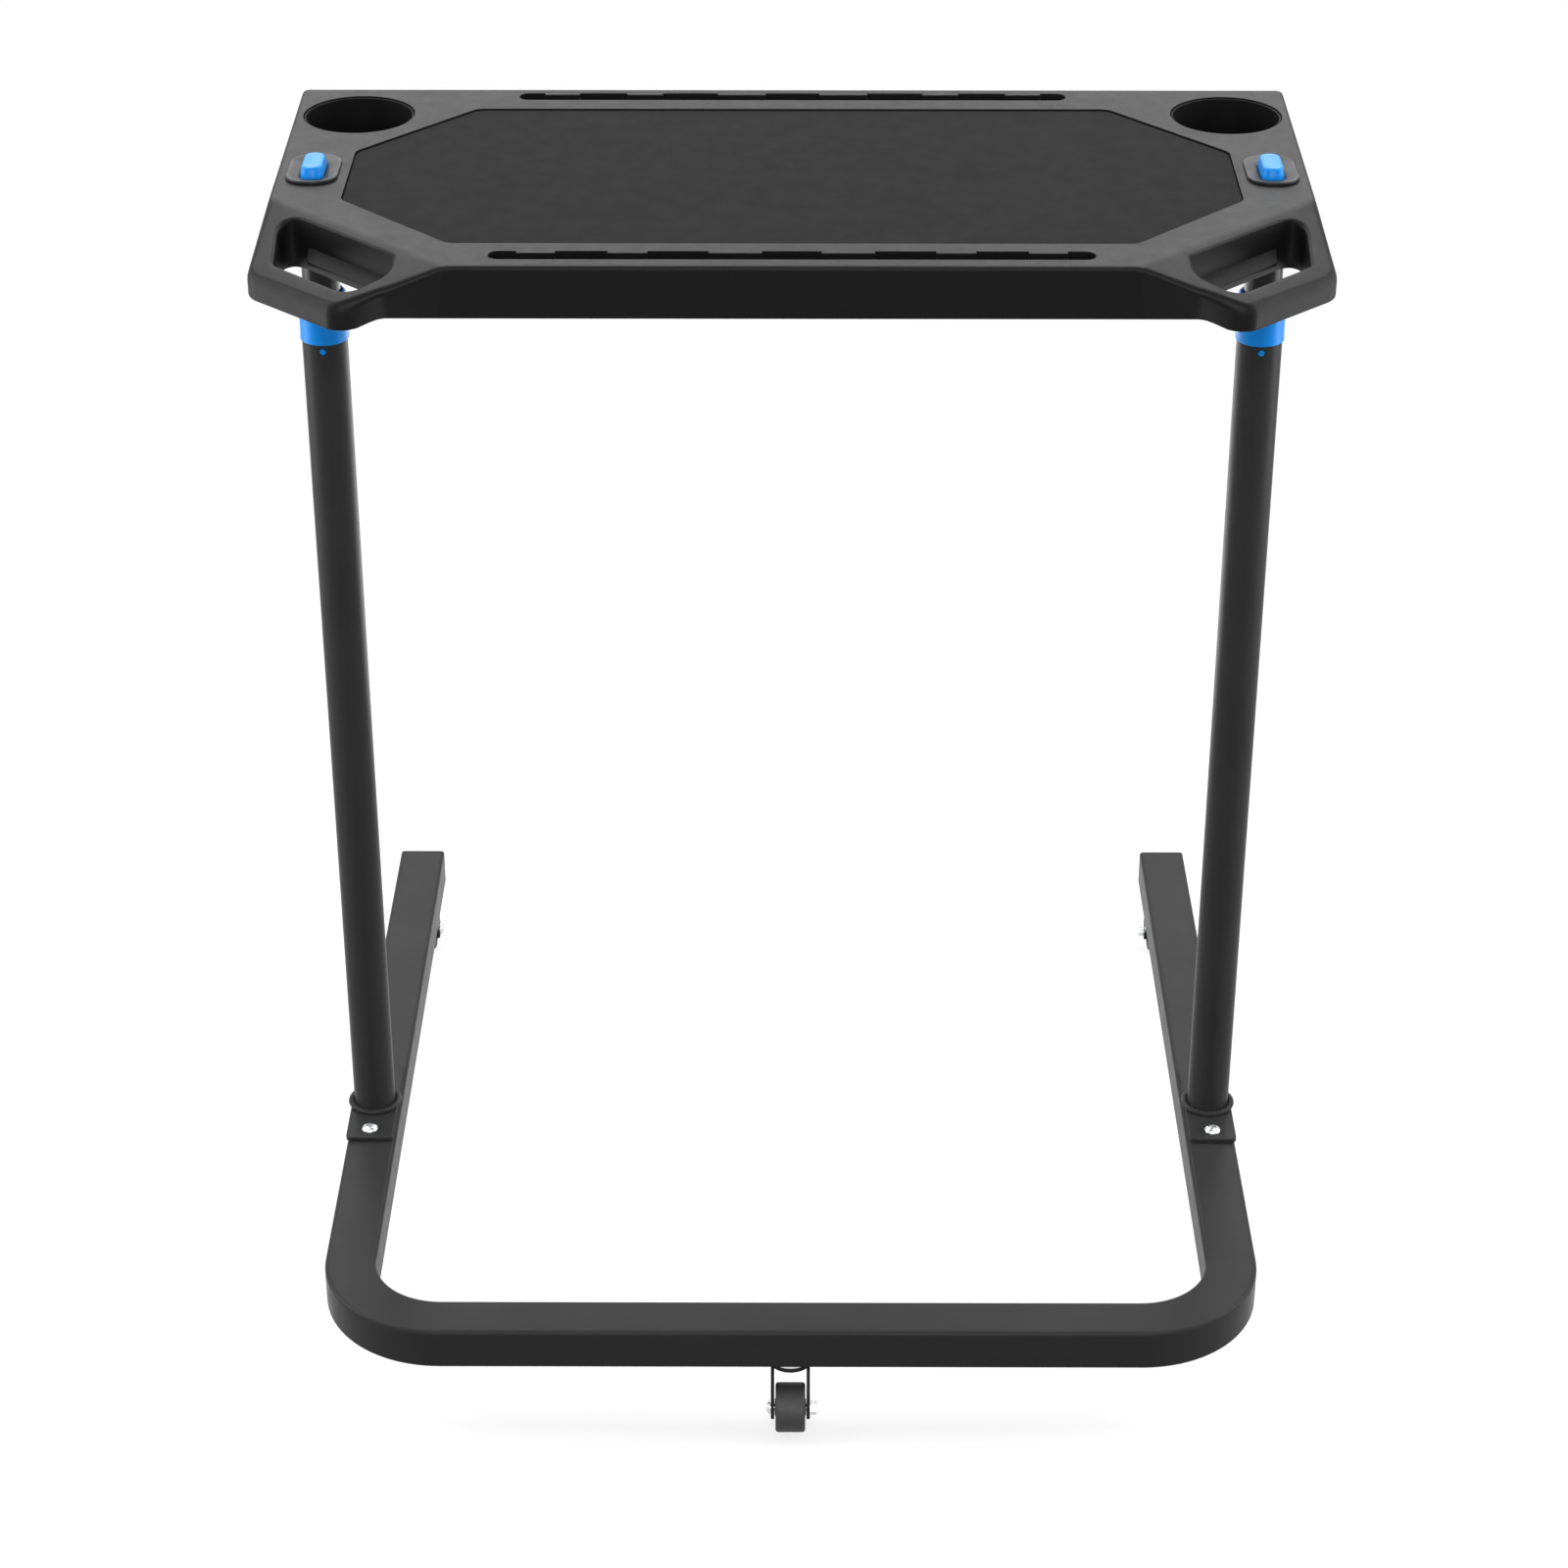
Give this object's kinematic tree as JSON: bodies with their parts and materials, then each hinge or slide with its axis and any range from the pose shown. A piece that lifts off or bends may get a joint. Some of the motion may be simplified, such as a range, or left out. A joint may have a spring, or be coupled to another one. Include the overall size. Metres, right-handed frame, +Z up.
{
  "type": "height adjustable rolling desk",
  "caption": "Rolling desk on two telescopic posts over a U-shaped castered base, with cup wells, device slots, hand holes, a non-slip mat and push buttons that free the height lock.",
  "frame": {"origin": "middle of the outer box at floor level, under the wheels", "axes": "+X to the user's right, +Y away from the user, +Z up"},
  "size_m": [0.7924, 0.78, 0.958],
  "materials": {
    "tray_plastic": "fine moulded grain, satin black-grey",
    "mat_rubber": "matt non-slip texture",
    "black_plastic": "fine grain",
    "black_steel": "black powder coat, satin",
    "inner_steel": "black coat, smooth satin",
    "blue_plastic": "satin blue",
    "zinc": "zinc plated",
    "tyre_rubber": "matt"
  },
  "bodies": {
    "base": {"base_frame": "black_steel", "end_cap_left": "black_plastic", "foot_plate_left": "black_steel", "outer_tube_left": "black_steel", "collar_left": "blue_plastic", "end_cap_right": "black_plastic", "foot_plate_right": "black_steel", "outer_tube_right": "black_steel", "collar_right": "blue_plastic", "foot_bolt_left_front": "zinc", "foot_bolt_left_rear": "zinc", "foot_bolt_right_front": "zinc", "foot_bolt_right_rear": "zinc", "caster_head_front": "zinc", "caster_head_rear_left": "zinc", "caster_head_rear_right": "zinc"},
    "tray": {"tray_shell": "tray_plastic", "mat": "mat_rubber", "cup_liner_left": "black_plastic", "button_bezel_left": "black_plastic", "tray_bracket_left": "black_steel", "inner_tube_left": "inner_steel", "glide_left": "black_plastic", "button_spring_left": "zinc", "cup_liner_right": "black_plastic", "button_bezel_right": "black_plastic", "tray_bracket_right": "black_steel", "inner_tube_right": "inner_steel", "glide_right": "black_plastic", "button_spring_right": "zinc", "bracket_screw_left_front": "zinc", "bracket_screw_left_rear": "zinc", "bracket_screw_right_front": "zinc", "bracket_screw_right_rear": "zinc"},
    "button_left": {"button_left": "blue_plastic", "push_rod_left": "zinc"},
    "lock_pin_left": {"lock_pin_left": "zinc"},
    "button_right": {"button_right": "blue_plastic", "push_rod_right": "zinc"},
    "lock_pin_right": {"lock_pin_right": "zinc"},
    "fork_front": {"caster_fork_front": "black_steel", "caster_bolt_front": "zinc", "caster_nut_front": "zinc"},
    "wheel_front": {"caster_tyre_front": "tyre_rubber", "caster_hub_front": "black_plastic"},
    "fork_rear_left": {"caster_fork_rear_left": "black_steel", "caster_bolt_rear_left": "zinc", "caster_nut_rear_left": "zinc"},
    "wheel_rear_left": {"caster_tyre_rear_left": "tyre_rubber", "caster_hub_rear_left": "black_plastic"},
    "fork_rear_right": {"caster_fork_rear_right": "black_steel", "caster_bolt_rear_right": "zinc", "caster_nut_rear_right": "zinc"},
    "wheel_rear_right": {"caster_tyre_rear_right": "tyre_rubber", "caster_hub_rear_right": "black_plastic"}
  },
  "joints": [
    {"name": "tray_lift", "type": "slide", "parent": "base", "child": "tray", "axis": [0, 0, 1], "range_m": [0, 0.375]},
    {"name": "button_press_left", "type": "slide", "parent": "tray", "child": "button_left", "axis": [0, 0, -1], "range_m": [0, 0.005], "stiffness_N_per_m": 1500, "springref_m": -0.006, "deforming": ["button_spring_left"]},
    {"name": "lock_pin_slide_left", "type": "slide", "parent": "tray", "child": "lock_pin_left", "axis": [0, -1, 0], "range_m": [0, 0.005]},
    {"name": "button_press_right", "type": "slide", "parent": "tray", "child": "button_right", "axis": [0, 0, -1], "range_m": [0, 0.005], "stiffness_N_per_m": 1500, "springref_m": -0.006, "deforming": ["button_spring_right"]},
    {"name": "lock_pin_slide_right", "type": "slide", "parent": "tray", "child": "lock_pin_right", "axis": [0, -1, 0], "range_m": [0, 0.005]},
    {"name": "caster_swivel_front", "type": "hinge", "parent": "base", "child": "fork_front", "pos_m": [0, -0.348, 0.05], "axis": [0, 0, 1], "continuous": true},
    {"name": "wheel_spin_front", "type": "hinge", "parent": "fork_front", "child": "wheel_front", "pos_m": [0, -0.37, 0.02], "axis": [1, 0, 0], "continuous": true},
    {"name": "caster_swivel_rear_left", "type": "hinge", "parent": "base", "child": "fork_rear_left", "pos_m": [-0.361, 0.343, 0.05], "axis": [0, 0, 1], "continuous": true},
    {"name": "wheel_spin_rear_left", "type": "hinge", "parent": "fork_rear_left", "child": "wheel_rear_left", "pos_m": [-0.361, 0.365, 0.02], "axis": [1, 0, 0], "continuous": true},
    {"name": "caster_swivel_rear_right", "type": "hinge", "parent": "base", "child": "fork_rear_right", "pos_m": [0.361, 0.343, 0.05], "axis": [0, 0, 1], "continuous": true},
    {"name": "wheel_spin_rear_right", "type": "hinge", "parent": "fork_rear_right", "child": "wheel_rear_right", "pos_m": [0.361, 0.365, 0.02], "axis": [1, 0, 0], "continuous": true}
  ],
  "couplings": [
    {"joint": "lock_pin_slide_left", "follows": "button_press_left", "ratio": 1},
    {"joint": "lock_pin_slide_right", "follows": "button_press_right", "ratio": 1}
  ]
}
